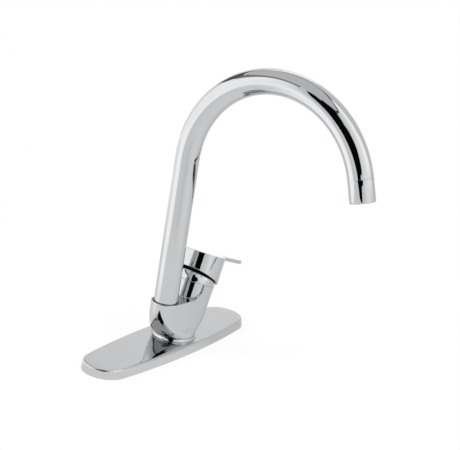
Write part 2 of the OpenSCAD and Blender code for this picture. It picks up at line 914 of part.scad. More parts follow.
module cartridge_stem() {
    arm_r = ball_r - 0.3;
    color(brass)
        at_barrel()
            translate([0, 0, pivot])
                difference() {
                    union() {
                        translate([-stem_w / 2, -stem_w / 2, -stem_w / 2])
                            cube([stem_w, stem_w, stem_top - pivot + stem_w / 2]);
                        translate([0, 0, -ball_arm])
                            cylinder(r = arm_r, h = ball_arm);
                        translate([0, 0, -ball_arm])
                            sphere(r = ball_r);
                    }
                    translate([0, stem_w, 0])
                        rotate([90, 0, 0])
                            cylinder(r = stem_pin_r + pin_gap, h = 2 * stem_w);
                }
}

// Flat lever blade, flush with the cap's top
module blade() {
    root_x = cap_bore_r - 2;
    tip_x = lever_reach - lever_corner;
    hull() {
        for (side = [-1, 1]) {
            translate([root_x, side * (lever_root_w / 2 - 1), 0])
                cylinder(r = 1, h = lever_thick, $fn = 32);
            translate([tip_x, side * (lever_tip_w / 2 - lever_corner), 0])
                cylinder(r = lever_corner, h = lever_thick, $fn = 32);
        }
    }
}

module lever_handle() {
    top = pivot + cap_top;
    color(chrome)
        at_barrel()
            difference() {
                union() {
                    difference() {
                        translate([0, 0, pivot])
                            cylinder(r = cap_r, h = cap_top);
                        translate([0, 0, pivot - cut])
                            cylinder(r = cap_bore_r, h = cap_top - cap_roof + cut);
                        translate([0, 0, pivot + skirt_mid])
                            rotate([0, skirt_slope, 0])
                                translate([-2 * cap_r, -2 * cap_r, -3 * cap_r])
                                    cube([4 * cap_r, 4 * cap_r, 3 * cap_r]);
                    }
                    translate([0, 0, boss_bottom])
                        cylinder(r = boss_r, h = top - boss_bottom - cut);
                    translate([0, -rib_w / 2, boss_bottom])
                        cube([cap_bore_r + cap_wall / 2, rib_w, top - boss_bottom - cut]);
                    translate([0, 0, top - lever_thick])
                        blade();
                }
                // Socket for the stem
                translate([-stem_w / 2 - slip_fit / 2, -stem_w / 2 - slip_fit / 2, boss_bottom - cut])
                    cube([stem_w + slip_fit, stem_w + slip_fit, boss_len + cut]);
                // Set screw's hole, with the index plug's seat
                translate([stem_w / 2, 0, screw_z])
                    rotate([0, 90, 0])
                        cylinder(r = set_screw_r + slip_fit / 2, h = cap_r);
                translate([cap_r - plug_len - slip_fit, 0, screw_z])
                    rotate([0, 90, 0])
                        cylinder(r = plug_r + slip_fit / 2, h = cap_r);
            }
}

module set_screw() {
    hex = 1.25;
    color(steel)
        at_barrel()
            translate([stem_w / 2 + slip_fit / 2, 0, screw_z])
                rotate([0, 90, 0])
                    difference() {
                        cylinder(r = set_screw_r, h = set_screw_len);
                        translate([0, 0, set_screw_len - 2.5])
                            cylinder(r = hex, h = 3, $fn = 6);
                    }
}

module index_plug() {
    color("firebrick")
        at_barrel()
            translate([cap_r - plug_len, 0, screw_z])
                rotate([0, 90, 0])
                    intersection() {
                        cylinder(r = plug_r, h = plug_len);
                        translate([0, 0, plug_len - cap_r])
                            sphere(r = cap_r);
                    }
}

deck_plate();
plate_frame();
plate_gasket();
foot_ring();
foot_seal();
mixer_body();
lower_slip_ring();
upper_slip_ring();
spout_keep_screw();
spout_tube();
spout_shank();
spout_o_rings();
outlet_sleeve();
aerator_washer();
aerator_screen();
flow_straightener();
aerator_housing();
cartridge_base();
port_seals();
fixed_disc();
cartridge_housing();
cartridge_nut();
bonnet_o_ring();
bonnet();
moving_disc();
disc_driver();
stem_carrier();
stem_pin();
cartridge_stem();
lever_handle();
set_screw();
index_plug();
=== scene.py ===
"""Looks of the single-lever sink mixer: polished chrome in a plain white studio."""

import math

import bpy
import numpy as np
from mathutils import Matrix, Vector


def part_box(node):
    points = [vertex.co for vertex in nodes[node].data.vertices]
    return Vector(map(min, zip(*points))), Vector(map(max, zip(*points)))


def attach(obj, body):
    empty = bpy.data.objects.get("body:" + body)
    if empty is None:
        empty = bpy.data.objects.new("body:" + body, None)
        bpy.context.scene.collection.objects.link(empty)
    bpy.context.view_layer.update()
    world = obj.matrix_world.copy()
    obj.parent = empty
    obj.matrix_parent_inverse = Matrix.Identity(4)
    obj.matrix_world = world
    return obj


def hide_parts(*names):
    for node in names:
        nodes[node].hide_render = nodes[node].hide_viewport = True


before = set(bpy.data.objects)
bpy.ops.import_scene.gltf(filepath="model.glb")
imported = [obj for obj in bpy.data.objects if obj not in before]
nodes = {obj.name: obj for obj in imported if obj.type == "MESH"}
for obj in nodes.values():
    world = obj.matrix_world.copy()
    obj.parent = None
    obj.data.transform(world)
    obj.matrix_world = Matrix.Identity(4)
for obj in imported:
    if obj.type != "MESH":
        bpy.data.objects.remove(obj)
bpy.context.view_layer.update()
MM = 0.001

# Sizes of the mixer in millimetres, the same as in the part's source
PLATE_LENGTH = 254.0
PLATE_WIDTH = 62.0
PLATE_SIDE_RADIUS = 885.0
PLATE_TOP_WIDTH = 58.5
PLATE_TOP_RADIUS = 890.0
PLATE_END_DRAW = 1.4
PLATE_HEIGHT = 9.6
PLATE_WALL = 2.2
PLATE_HOLE_R = 14.2
PLATE_HOLE_X = 15.0
FOOT_X = 10.5
FOOT_RING_R = 23.8
FOOT_RING_H = 3.0
FOOT_FLARE = 0.9
FOOT_STEP = 0.7
TENON_R = 17.3
RISER_X = -14.0
COLLAR_H = 43.0
COLLAR_R = 15.2
WAIST_DROP = 10.0
BARREL_X = 18.9
BARREL_TILT = math.radians(17.5)
BARREL_LEN = 57.0
BARREL_TOP_R = 21.7
BARREL_LOW_R = 20.2
SADDLE_EDGE = 12.0
SADDLE_R = 8.0
TUBE_R = 12.5
TUBE_WALL = 1.2
RISER_H = 196.0
TUBE_ENTRY = 3.0
BEND_R = 97.0
BEND_ANGLE = math.radians(162.0)
SOCKET_R = 12.6
SOCKET_DEPTH = 19.0
SLIP_SEAT_R = 13.8
SLIP_SEAT_DEPTH = 4.05
CAVITY_FLOOR = 25.5
CAVITY_R = 17.6
THREAD_R = 18.25
SHOULDER = 52.35
KEEP_SCREW_Z = 46.5
SLEEVE_LEN = 22.0
AERATOR_SEAT = 6.0
CAP_R = 24.0
CAP_WALL = 1.8
CAP_TOP = 32.5
CAP_ROOF = 4.0
SKIRT_MID = 7.3
SKIRT_SLOPE = math.radians(17.0)
LEVER_REACH = 73.0
LEVER_ROOT_W = 20.0
LEVER_TIP_W = 17.0
LEVER_THICK = 4.0
LEVER_CORNER = 3.0
BOSS_R = 7.8
BOSS_LEN = 7.0
STEM_W = 8.0
SET_SCREW_R = 2.4
PLUG_R = 3.0
PLUG_LEN = 3.6
BONNET_R = 21.5
BONNET_BORE_R = 19.7
BONNET_HOLE_R = 14.0

# Further sizes in millimetres, for the looks alone
PLATE_RIM_HEIGHT = 2.4
PLATE_RIM_DEPTH = 2.0
TENON_H = 8.0
BARREL_LOW_AT = 15.7
SLEEVE_SPIGOT = 4.0
SPIGOT_BORE_R = 17.2     # the bonnet's spigot in the barrel's mouth
SPIGOT_R = 18.1
SPIGOT_TOP = 0.8
SPIGOT_DROP = 1.5
CHAMFER = 0.1
TUBE_TRIM = 0.02         # keeps the swept tube inside the part's own
WAIST_POWER = 0.75       # shape of the curve from the foot up to the collar
SETTLE_HEIGHT = 14.0     # height in which the barrel's side settles on the foot's circle
BARREL_START = 20.0
POCKET_FILLET = 0.4
POCKET_FADE = 5.0
KEEP_HOLE_R = 1.55
KEEP_HOLE_HALF = 7.3     # half its length; it ends just below the collar's outer face
CASTING_EDGE = 0.5
SADDLE_LIP = 0.7
FOOT_EDGE = 0.4
SOCKET_LIP = 0.35
BLADE_EDGE = 0.5
SKIRT_EDGE = 0.35
ROOT_FILLET = 0.8
ROOT_START = 6.0
RIB_SIDE = 2.0
OVERLAP = 1.0            # boss and rib run this far into the cap
PLAY = 0.05
STEM_SOCKET_FLOOR = 15.0
# Two hose inlets and the stud hole: x, y, radius and depth from the foot's underside
FOOT_HOLES = ((12.5, 7.6, 4.5, 10.0), (12.5, -7.6, 4.5, 10.0), (22.5, 0.0, 3.4, 14.0))
BODY_STEP, BODY_STEP_QUICK = 0.62, 0.9
LEVER_STEP, LEVER_STEP_QUICK = 0.52, 0.8


# ---------------------------------------------------------------- finishes
NOISE_LOW, NOISE_HIGH = 0.3, 0.7     # what Blender's noise mostly stays between


def new_finish(name):
    """A material with a fresh node tree, its Principled shader and its object coordinates."""
    finish = bpy.data.materials.new(name)
    finish.use_nodes = True
    tree = finish.node_tree
    shader = next(n for n in tree.nodes if n.type == "BSDF_PRINCIPLED")
    place = tree.nodes.new("ShaderNodeTexCoord")
    return finish, tree, shader, place.outputs["Object"]


def math_step(tree, kind, *values):
    """One step of arithmetic between sockets or numbers."""
    node = tree.nodes.new("ShaderNodeMath")
    node.operation = kind
    for socket, value in zip(node.inputs, values):
        if isinstance(value, (int, float)):
            socket.default_value = value
        else:
            tree.links.new(value, socket)
    return node.outputs[0]


def mottle(tree, place, scale, detail, low, high, stretch=None):
    """A noise pattern on the surface, scaled between two values."""
    if stretch:
        turn = tree.nodes.new("ShaderNodeMapping")
        turn.inputs["Scale"].default_value = stretch
        tree.links.new(place, turn.inputs["Vector"])
        place = turn.outputs["Vector"]
    noise = tree.nodes.new("ShaderNodeTexNoise")
    noise.inputs["Scale"].default_value = scale
    noise.inputs["Detail"].default_value = detail
    tree.links.new(place, noise.inputs["Vector"])
    spread = tree.nodes.new("ShaderNodeMapRange")
    spread.inputs["From Min"].default_value = NOISE_LOW
    spread.inputs["From Max"].default_value = NOISE_HIGH
    spread.inputs["To Min"].default_value = low
    spread.inputs["To Max"].default_value = high
    tree.links.new(noise.outputs["Fac"], spread.inputs["Value"])
    return spread.outputs["Result"]


def tint(tree, shader, amount, first, second):
    """The base colour drifts between two close tones."""
    mix = tree.nodes.new("ShaderNodeMix")
    mix.data_type = "RGBA"
    mix.inputs["A"].default_value = (*first, 1)
    mix.inputs["B"].default_value = (*second, 1)
    tree.links.new(amount, mix.inputs["Factor"])
    tree.links.new(mix.outputs["Result"], shader.inputs["Base Color"])


def relief(tree, shader, height, depth):
    """A pattern from 0 to 1 pushed into the surface as a bump, depth in metres."""
    bump = tree.nodes.new("ShaderNodeBump")
    bump.inputs["Distance"].default_value = depth
    tree.links.new(height, bump.inputs["Height"])
    tree.links.new(bump.outputs["Normal"], shader.inputs["Normal"])


def polished_chrome(name, wave_scale, wave_depth):
    """Bright chrome over a hand-polished casting or tube: soft waves and faint smears."""
    finish, tree, shader, place = new_finish(name)
    shader.inputs["Metallic"].default_value = 1.0
    drift = mottle(tree, place, 30, 3, 0, 1)
    tint(tree, shader, drift, (0.553, 0.557, 0.566), (0.534, 0.541, 0.553))
    smears = mottle(tree, place, 90, 5, 0.012, 0.05)
    tree.links.new(smears, shader.inputs["Roughness"])
    relief(tree, shader, mottle(tree, place, wave_scale, 1, 0, 1), wave_depth)
    return finish


def machined_metal(name, first, second, rough):
    """Turned or drawn metal with fine tool marks."""
    finish, tree, shader, place = new_finish(name)
    shader.inputs["Metallic"].default_value = 1.0
    tint(tree, shader, mottle(tree, place, 120, 4, 0, 1), first, second)
    dulled = mottle(tree, place, 200, 4, rough * 0.7, rough * 1.3)
    tree.links.new(dulled, shader.inputs["Roughness"])
    relief(tree, shader, mottle(tree, place, 400, 2, 0, 1, (1, 1, 6)), 0.00003)
    return finish


def moulded(name, first, second, rough, grain, depth):
    """Moulded plastic, rubber or lapped ceramic with its own grain."""
    finish, tree, shader, place = new_finish(name)
    tint(tree, shader, mottle(tree, place, grain * 0.2, 4, 0, 1), first, second)
    dulled = mottle(tree, place, grain * 0.5, 3, rough * 0.8, min(1, rough * 1.2))
    tree.links.new(dulled, shader.inputs["Roughness"])
    relief(tree, shader, mottle(tree, place, grain, 4, 0, 1), depth)
    return finish


CHROME_CAST = polished_chrome("chrome over casting", 40, 0.000016)
CHROME_TUBE = polished_chrome("chrome over drawn tube", 60, 0.000006)
CHROME_PRESSED = polished_chrome("chrome over pressed plate", 18, 0.00002)
BRASS = machined_metal("turned brass", (0.72, 0.57, 0.30), (0.60, 0.46, 0.22), 0.28)
STEEL = machined_metal("plain steel", (0.56, 0.57, 0.58), (0.45, 0.46, 0.47), 0.3)
RUBBER = moulded(
    "black rubber", (0.022, 0.022, 0.023), (0.04, 0.04, 0.04), 0.7, 900, 0.00006)
WHITE_PLASTIC = moulded(
    "white acetal", (0.84, 0.84, 0.81), (0.76, 0.76, 0.73), 0.45, 700, 0.00002)
GREY_PLASTIC = moulded(
    "grey acetal", (0.14, 0.14, 0.145), (0.10, 0.10, 0.105), 0.5, 700, 0.00002)
CERAMIC = moulded(
    "lapped ceramic", (0.88, 0.87, 0.82), (0.80, 0.79, 0.75), 0.22, 500, 0.000008)
INDEX_RED = moulded(
    "red index plug", (0.60, 0.03, 0.03), (0.48, 0.02, 0.02), 0.3, 600, 0.00001)

FINISH_OF_NODE = {
    "deck_plate": CHROME_PRESSED, "foot_ring": CHROME_CAST, "mixer_body": CHROME_CAST,
    "spout_tube": CHROME_TUBE, "outlet_sleeve": CHROME_TUBE, "aerator_housing": CHROME_TUBE,
    "bonnet": CHROME_CAST, "lever_handle": CHROME_CAST,
    "plate_frame": GREY_PLASTIC, "upper_slip_ring": GREY_PLASTIC, "disc_driver": GREY_PLASTIC,
    "plate_gasket": RUBBER, "foot_seal": RUBBER, "spout_o_rings": RUBBER,
    "aerator_washer": RUBBER, "port_seals": RUBBER, "bonnet_o_ring": RUBBER,
    "lower_slip_ring": WHITE_PLASTIC, "flow_straightener": WHITE_PLASTIC,
    "cartridge_base": WHITE_PLASTIC, "cartridge_housing": WHITE_PLASTIC,
    "stem_carrier": WHITE_PLASTIC,
    "spout_shank": BRASS, "cartridge_nut": BRASS, "cartridge_stem": BRASS,
    "spout_keep_screw": STEEL, "aerator_screen": STEEL, "stem_pin": STEEL, "set_screw": STEEL,
    "fixed_disc": CERAMIC, "moving_disc": CERAMIC, "index_plug": INDEX_RED,
}
for node_name, finish in FINISH_OF_NODE.items():
    mesh = nodes[node_name].data
    mesh.materials.clear()
    mesh.materials.append(finish)


# ---------------------------------------------------------------- making pieces
def new_piece(name, mesh, body, slot, *stands_for):
    """A finished mesh becomes a piece of the mixer and stands for CAD nodes."""
    piece = bpy.data.objects.new(name, mesh)
    bpy.context.scene.collection.objects.link(piece)
    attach(piece, body)
    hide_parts(*stands_for)
    return piece


def mesh_of(name, points, faces, finish, normals=None):
    """A smooth mesh from points in millimetres."""
    mesh = bpy.data.meshes.new(name)
    corners = [list(map(int, f)) for f in faces]
    mesh.from_pydata((np.asarray(points, float) * MM).tolist(), [], corners)
    mesh.update()
    mesh.shade_smooth()
    if normals is not None:
        mesh.normals_split_custom_set_from_vertices(np.asarray(normals, float).tolist())
    mesh.materials.append(finish)
    return mesh


def sharpen(mesh, degrees=32):
    """Edges that turn more than this stay sharp."""
    mesh.set_sharp_from_angle(angle=math.radians(degrees))
    return mesh


def barrel_frame(points, back=False):
    """Points taken into the barrel's own frame, whose z runs up its axis, or back from it."""
    c, s = math.cos(BARREL_TILT), math.sin(BARREL_TILT)
    turn = np.array([[c, 0, -s], [0, 1, 0], [s, 0, c]])
    origin = np.array([BARREL_X, 0, PLATE_HEIGHT])
    return points @ turn + origin if back else (points - origin) @ turn.T


def barrel_direction(vectors):
    """Directions of the barrel's own frame in the part's frame."""
    return barrel_frame(vectors, True) - np.array([BARREL_X, 0, PLATE_HEIGHT])


def barrel_axis():
    """The way the barrel leans."""
    return (math.sin(BARREL_TILT), 0.0, math.cos(BARREL_TILT))


# Fields: negative inside the metal, positive outside, near a distance in millimetres
def joined(a, b, r):
    """Both shapes, with a fillet of radius r between them."""
    r = np.maximum(r, 1e-6)
    return np.maximum(r, np.minimum(a, b)) - np.hypot(np.maximum(r - a, 0), np.maximum(r - b, 0))


def common(a, b, r):
    """What both shapes share, with its edge rounded to radius r."""
    return np.minimum(-r, np.maximum(a, b)) + np.hypot(np.maximum(r + a, 0), np.maximum(r + b, 0))


def slopes(field, points, step=0.01):
    """Gradient of a field at points."""
    grad = np.empty_like(points)
    for axis in range(3):
        shift = np.zeros(3)
        shift[axis] = step
        grad[:, axis] = (field(points + shift) - field(points - shift)) / (2 * step)
    return grad


def drawn_on(field, points, step):
    """Points moved along the field's slope, a bounded stride at a time, on to its surface."""
    rounds, stride, flattest = 12, 0.4, 0.05
    for _ in range(rounds):
        grad = slopes(field, points)
        size = (grad * grad).sum(1)[:, None]
        move = field(points)[:, None] * grad / np.maximum(size, flattest)
        length = np.linalg.norm(move, axis=1)[:, None]
        points = points - move * np.minimum(1, stride * step / np.maximum(length, 1e-9))
    return points


def skin(field, low, high, step):
    """Mesh of a field's surface: one point in each cell that it crosses, and the normals."""
    axes = [np.arange(l, h + step, step) for l, h in zip(low, high)]
    grid = np.stack(np.meshgrid(*axes, indexing="ij"), -1)
    value = field(grid.reshape(-1, 3)).reshape(grid.shape[:3])
    inside = value < 0
    corner = [(i, j, k) for i in (0, 1) for j in (0, 1) for k in (0, 1)]
    n = [s - 1 for s in value.shape]

    def part(a, c):
        return a[c[0]:c[0] + n[0], c[1]:c[1] + n[1], c[2]:c[2] + n[2]]

    count = sum(part(inside, c).astype(int) for c in corner)
    crossed = (count > 0) & (count < 8)
    where = np.argwhere(crossed)
    index = -np.ones(n, int)
    index[crossed] = np.arange(len(where))
    # The point is the mean of the places where the cell's edges meet the surface
    vals = np.stack([part(value, c)[crossed] for c in corner], 1)
    total, hits = np.zeros((len(where), 3)), np.zeros(len(where))
    for a in range(8):
        for b in range(a + 1, 8):
            ca, cb = np.array(corner[a]), np.array(corner[b])
            if np.abs(ca - cb).sum() != 1:
                continue
            cut = (vals[:, a] < 0) != (vals[:, b] < 0)
            t = np.where(cut, vals[:, a] / np.where(cut, vals[:, a] - vals[:, b], 1), 0)
            total += np.where(cut[:, None], ca + t[:, None] * (cb - ca), 0)
            hits += cut
    points = np.array([a[0] for a in axes]) + (where + total / hits[:, None]) * step
    # Four cells round each grid edge that the surface cuts make a face
    faces = []
    for axis in range(3):
        u, v = (axis + 1) % 3, (axis + 2) % 3
        a = [slice(None)] * 3
        b = [slice(None)] * 3
        a[axis], b[axis] = slice(0, -1), slice(1, None)
        first, second = inside[tuple(a)], inside[tuple(b)]
        spots = np.argwhere(first != second)
        own = (spots[:, u] > 0) & (spots[:, v] > 0) & (spots[:, u] < n[u]) & (spots[:, v] < n[v])
        spots = spots[own]
        ring = []
        for du, dv in ((1, 1), (0, 1), (0, 0), (1, 0)):
            cell = spots.copy()
            cell[:, u] -= du
            cell[:, v] -= dv
            ring.append(index[tuple(cell.T)])
        quad = np.stack(ring, 1)
        out = first[tuple(spots.T)]
        faces.append(np.where(out[:, None], quad, quad[:, ::-1]))
    points = drawn_on(field, points, step)
    grad = slopes(field, points)
    normals = grad / np.maximum(np.linalg.norm(grad, axis=1)[:, None], 1e-9)
    return points, np.concatenate(faces), normals


def lathe(profile, centre, axis, finish, name, sides=192):
    """A closed profile of (radius, height) in millimetres turned about an axis through centre."""
    axis = np.asarray(axis, float) / np.linalg.norm(axis)
    side = np.cross(axis, (0.0, 1.0, 0.0))
    if np.linalg.norm(side) < 0.1:
        side = np.cross(axis, (1.0, 0.0, 0.0))
    side /= np.linalg.norm(side)
    other = np.cross(axis, side)
    profile = np.asarray(profile, float)
    turn = np.linspace(0, 2 * math.pi, sides, endpoint=False)
    around = np.cos(turn)[:, None] * side + np.sin(turn)[:, None] * other
    points = (np.asarray(centre, float) + profile[None, :, 0, None] * around[:, None, :]
              + profile[None, :, 1, None] * axis).reshape(-1, 3)
    count = len(profile)
    faces = []
    for i in range(sides):
        j = (i + 1) % sides
        for k in range(count):
            m = (k + 1) % count
            faces.append((i * count + k, j * count + k, j * count + m, i * count + m))
    return sharpen(mesh_of(name, points, faces, finish))


def rounded(points, radii, steps=6):
    """An outline of corners, each rounded to its radius by an arc."""
    out = []
    count = len(points)
    for i, (p, r) in enumerate(zip(points, radii)):
        p = np.asarray(p, float)
        if r <= 0:
            out.append(p)
            continue
        a = np.asarray(points[i - 1], float) - p
        b = np.asarray(points[(i + 1) % count], float) - p
        a /= np.linalg.norm(a)
        b /= np.linalg.norm(b)
        half = math.acos(np.clip(a @ b, -1, 1)) / 2
        reach = r / math.tan(half)
        middle = p + (a + b) / np.linalg.norm(a + b) * (r / math.sin(half))
        start, end = p + a * reach - middle, p + b * reach - middle
        sweep = math.atan2(start[0] * end[1] - start[1] * end[0], start @ end)
        for k in range(steps + 1):
            t = sweep * k / steps
            out.append(middle + np.array([start[0] * math.cos(t) - start[1] * math.sin(t),
                                          start[0] * math.sin(t) + start[1] * math.cos(t)]))
    return out


# ---------------------------------------------------------------- spout tube
def socket_id(tree, name):
    """Identifier of a named input of a tree."""
    return next(s.identifier for s in tree.interface.items_tree if s.name == name)


def spout_tree():
    """Geometry Nodes: a tube that follows the riser and then the bend, with its wall."""
    tree = bpy.data.node_groups.new("bent spout tube", "GeometryNodeTree")
    face = tree.interface
    face.new_socket("Geometry", in_out="OUTPUT", socket_type="NodeSocketGeometry")
    for name, value in (
        ("Foot height", 0.0), ("Straight length", 0.1), ("Bend radius", 0.1),
        ("Bend angle", 1.0), ("Distance from middle", 0.0), ("Tube radius", 0.01),
        ("Wall", 0.001),
    ):
        socket = face.new_socket(name, in_out="INPUT", socket_type="NodeSocketFloat")
        socket.default_value = value
    for name, value in (("Steps along", 200), ("Sides", 128)):
        socket = face.new_socket(name, in_out="INPUT", socket_type="NodeSocketInt")
        socket.default_value = value
    face.new_socket("Finish", in_out="INPUT", socket_type="NodeSocketMaterial")
    given = tree.nodes.new("NodeGroupInput").outputs
    result = tree.nodes.new("NodeGroupOutput")
    link = tree.links.new

    line = tree.nodes.new("GeometryNodeCurvePrimitiveLine")
    steps = tree.nodes.new("GeometryNodeResampleCurve")
    link(line.outputs["Curve"], steps.inputs["Curve"])
    link(given["Steps along"], steps.inputs["Count"])
    share = tree.nodes.new("GeometryNodeSplineParameter").outputs["Factor"]
    bend_length = math_step(tree, "MULTIPLY", given["Bend radius"], given["Bend angle"])
    whole = math_step(tree, "ADD", given["Straight length"], bend_length)
    along = math_step(tree, "MULTIPLY", share, whole)
    straight = math_step(tree, "MINIMUM", along, given["Straight length"])
    bent = math_step(tree, "SUBTRACT", along, straight)
    turned = math_step(tree, "DIVIDE", bent, given["Bend radius"])
    lean = math_step(tree, "SUBTRACT", math_step(tree, "COSINE", turned), 1.0)
    forward = math_step(tree, "MULTIPLY", lean, given["Bend radius"])
    rise = math_step(tree, "MULTIPLY", math_step(tree, "SINE", turned), given["Bend radius"])
    height = math_step(tree, "ADD", given["Foot height"], straight)
    height = math_step(tree, "ADD", height, rise)
    place = tree.nodes.new("ShaderNodeCombineXYZ")
    link(given["Distance from middle"], place.inputs["X"])
    link(forward, place.inputs["Y"])
    link(height, place.inputs["Z"])
    bend = tree.nodes.new("GeometryNodeSetPosition")
    link(steps.outputs["Curve"], bend.inputs["Geometry"])
    link(place.outputs["Vector"], bend.inputs["Position"])
    ring = tree.nodes.new("GeometryNodeCurvePrimitiveCircle")
    link(given["Sides"], ring.inputs["Resolution"])
    link(given["Tube radius"], ring.inputs["Radius"])
    sweep = tree.nodes.new("GeometryNodeCurveToMesh")
    link(bend.outputs["Geometry"], sweep.inputs["Curve"])
    link(ring.outputs["Curve"], sweep.inputs["Profile Curve"])
    wall = tree.nodes.new("GeometryNodeExtrudeMesh")
    wall.mode = "FACES"
    wall.inputs["Individual"].default_value = False
    link(sweep.outputs["Mesh"], wall.inputs["Mesh"])
    link(math_step(tree, "MULTIPLY", given["Wall"], -1.0), wall.inputs["Offset Scale"])
    inner = tree.nodes.new("GeometryNodeFlipFaces")
    link(wall.outputs["Mesh"], inner.inputs["Mesh"])
    both = tree.nodes.new("GeometryNodeJoinGeometry")
    link(inner.outputs["Mesh"], both.inputs["Geometry"])
    link(sweep.outputs["Mesh"], both.inputs["Geometry"])
    closed = tree.nodes.new("GeometryNodeMergeByDistance")
    closed.inputs["Distance"].default_value = 0.00001
    link(both.outputs["Geometry"], closed.inputs["Geometry"])
    real = tree.nodes.new("GeometryNodeRealizeInstances")
    link(closed.outputs["Geometry"], real.inputs["Geometry"])
    finish = tree.nodes.new("GeometryNodeSetMaterial")
    link(real.outputs["Geometry"], finish.inputs["Geometry"])
    link(given["Finish"], finish.inputs["Material"])
    link(finish.outputs["Geometry"], result.inputs["Geometry"])
    return tree


def make_spout_tube():
    tree = spout_tree()
    holder = bpy.data.objects.new("spout holder", bpy.data.meshes.new("spout holder"))
    bpy.context.scene.collection.objects.link(holder)
    bend = holder.modifiers.new("bent tube", "NODES")
    bend.node_group = tree
    tube_foot = PLATE_HEIGHT + COLLAR_H - TUBE_ENTRY
    for name, value in (
        ("Foot height", tube_foot * MM),
        ("Straight length", (PLATE_HEIGHT + RISER_H - tube_foot) * MM),
        ("Bend radius", BEND_R * MM), ("Bend angle", BEND_ANGLE),
        ("Distance from middle", RISER_X * MM), ("Tube radius", (TUBE_R - TUBE_TRIM) * MM),
        ("Wall", TUBE_WALL * MM), ("Steps along", 240), ("Sides", 128),
        ("Finish", CHROME_TUBE),
    ):
        bend[socket_id(tree, name)] = value
    bpy.context.view_layer.update()
    seen = holder.evaluated_get(bpy.context.evaluated_depsgraph_get())
    mesh = bpy.data.meshes.new_from_object(seen)
    holder.modifiers.clear()
    bpy.data.objects.remove(holder)
    mesh.name = "spout tube"
    mesh.shade_smooth()
    sharpen(mesh, 50)
    return new_piece("spout_tube_bent", mesh, "spout", "chrome", "spout_tube")


# ---------------------------------------------------------------- mixer body
def collar_share(z):
    """How far the lower body has swung out from the foot to the collar at height z: 0 to 1."""
    foot = PLATE_HEIGHT + FOOT_RING_H
    waist = COLLAR_H - FOOT_RING_H - WAIST_DROP
    u = np.clip((z - foot) / waist, 0, 1)
    return np.power(np.maximum(1 - (1 - u) ** 2, 1e-9), WAIST_POWER)


def barrel_radius(s):
    """The barrel's radius at a distance up its axis."""
    share = np.clip((s - BARREL_LOW_AT) / (BARREL_LEN - BARREL_LOW_AT), -1, 1.2)
    return BARREL_LOW_R + (BARREL_TOP_R - BARREL_LOW_R) * share


def shell_field(p, barrel_r):
    """The body's outer face: collar and barrel side, each height spanned as by a stretched skin."""
    z = p[:, 2]
    least_span, steepest = 0.05, 0.98
    share = collar_share(z)
    body_foot_r = FOOT_RING_R - FOOT_FLARE - FOOT_STEP
    collar_x = FOOT_X + (RISER_X - FOOT_X) * share
    collar_r = body_foot_r + (COLLAR_R - body_foot_r) * share
    # Barrel side: round about the leaning axis, settling on the foot's circle at the bottom
    settle = np.clip((z - PLATE_HEIGHT - FOOT_RING_H) / SETTLE_HEIGHT, 0, 1)
    settle = settle * settle * (3 - 2 * settle)
    barrel_x = BARREL_X + (z - PLATE_HEIGHT) * math.tan(BARREL_TILT)
    right_x = FOOT_X + (barrel_x - FOOT_X) * settle
    right_r = body_foot_r + (barrel_r - body_foot_r) * settle
    squeeze = 1 + (math.cos(BARREL_TILT) - 1) * settle
    dx = p[:, 0] - right_x
    qx = np.where(dx > 0, dx * squeeze, dx)
    qy = np.abs(p[:, 1])
    span = np.maximum(right_x - collar_x, least_span)
    lean = np.clip((right_r - collar_r) / span, -steepest, steepest)
    rise = np.sqrt(1 - lean * lean)
    along = -qx
    k = -lean * qy + rise * along
    return np.where(
        k < 0, np.hypot(qx, qy) - right_r,
        np.where(k > rise * span, np.hypot(along - span, qy) - collar_r,
                 lean * along + rise * qy - right_r),
    )


def body_field(p):
    b = barrel_frame(p)
    s, across = b[:, 2], b[:, 0]
    from_axis = np.hypot(across, b[:, 1])
    z = p[:, 2]
    barrel_r = barrel_radius(s)
    outer = shell_field(p, barrel_r)
    floor = PLATE_HEIGHT + COLLAR_H
    saddle = common(floor - z, across + SADDLE_EDGE, SADDLE_R)
    outer = common(outer, s - BARREL_LEN, CASTING_EDGE)
    outer = common(outer, -saddle, SADDLE_LIP)
    barrel = common(from_axis - barrel_r, s - BARREL_LEN, CASTING_EDGE)
    barrel = np.maximum(barrel, PLATE_HEIGHT + BARREL_START - z)
    fillet = POCKET_FILLET * np.clip((-across - POCKET_FADE) / POCKET_FADE, 0, 1)
    metal = joined(outer, barrel, fillet)
    metal = common(metal, PLATE_HEIGHT + FOOT_RING_H - z, FOOT_EDGE)
    tenon = np.maximum(np.hypot(p[:, 0] - FOOT_X, p[:, 1]) - TENON_R,
                       np.maximum(PLATE_HEIGHT - z, z - PLATE_HEIGHT - TENON_H))
    metal = np.minimum(metal, tenon)
    # Socket for the spout, seat of the slip ring, keep screw's hole
    riser = np.hypot(p[:, 0] - RISER_X, p[:, 1])
    socket = np.maximum(riser - SOCKET_R, floor - SOCKET_DEPTH - z)
    seat = np.maximum(riser - SLIP_SEAT_R, floor - SLIP_SEAT_DEPTH - z)
    metal = common(metal, -np.minimum(socket, seat), SOCKET_LIP)
    screw = np.maximum(np.hypot(p[:, 1], z - KEEP_SCREW_Z) - KEEP_HOLE_R,
                       np.abs(p[:, 0] - RISER_X + KEEP_HOLE_HALF) - KEEP_HOLE_HALF)
    metal = np.maximum(metal, -screw)
    # Cartridge cavity and thread
    cavity = np.maximum(from_axis - CAVITY_R, CAVITY_FLOOR - s)
    thread = np.maximum(from_axis - THREAD_R, SHOULDER - s)
    metal = np.maximum(metal, -np.minimum(cavity, thread))
    for x, y, r, deep in FOOT_HOLES:
        hole = np.maximum(np.hypot(p[:, 0] - x, p[:, 1] - y) - r, z - PLATE_HEIGHT - deep)
        metal = np.maximum(metal, -hole)
    return metal


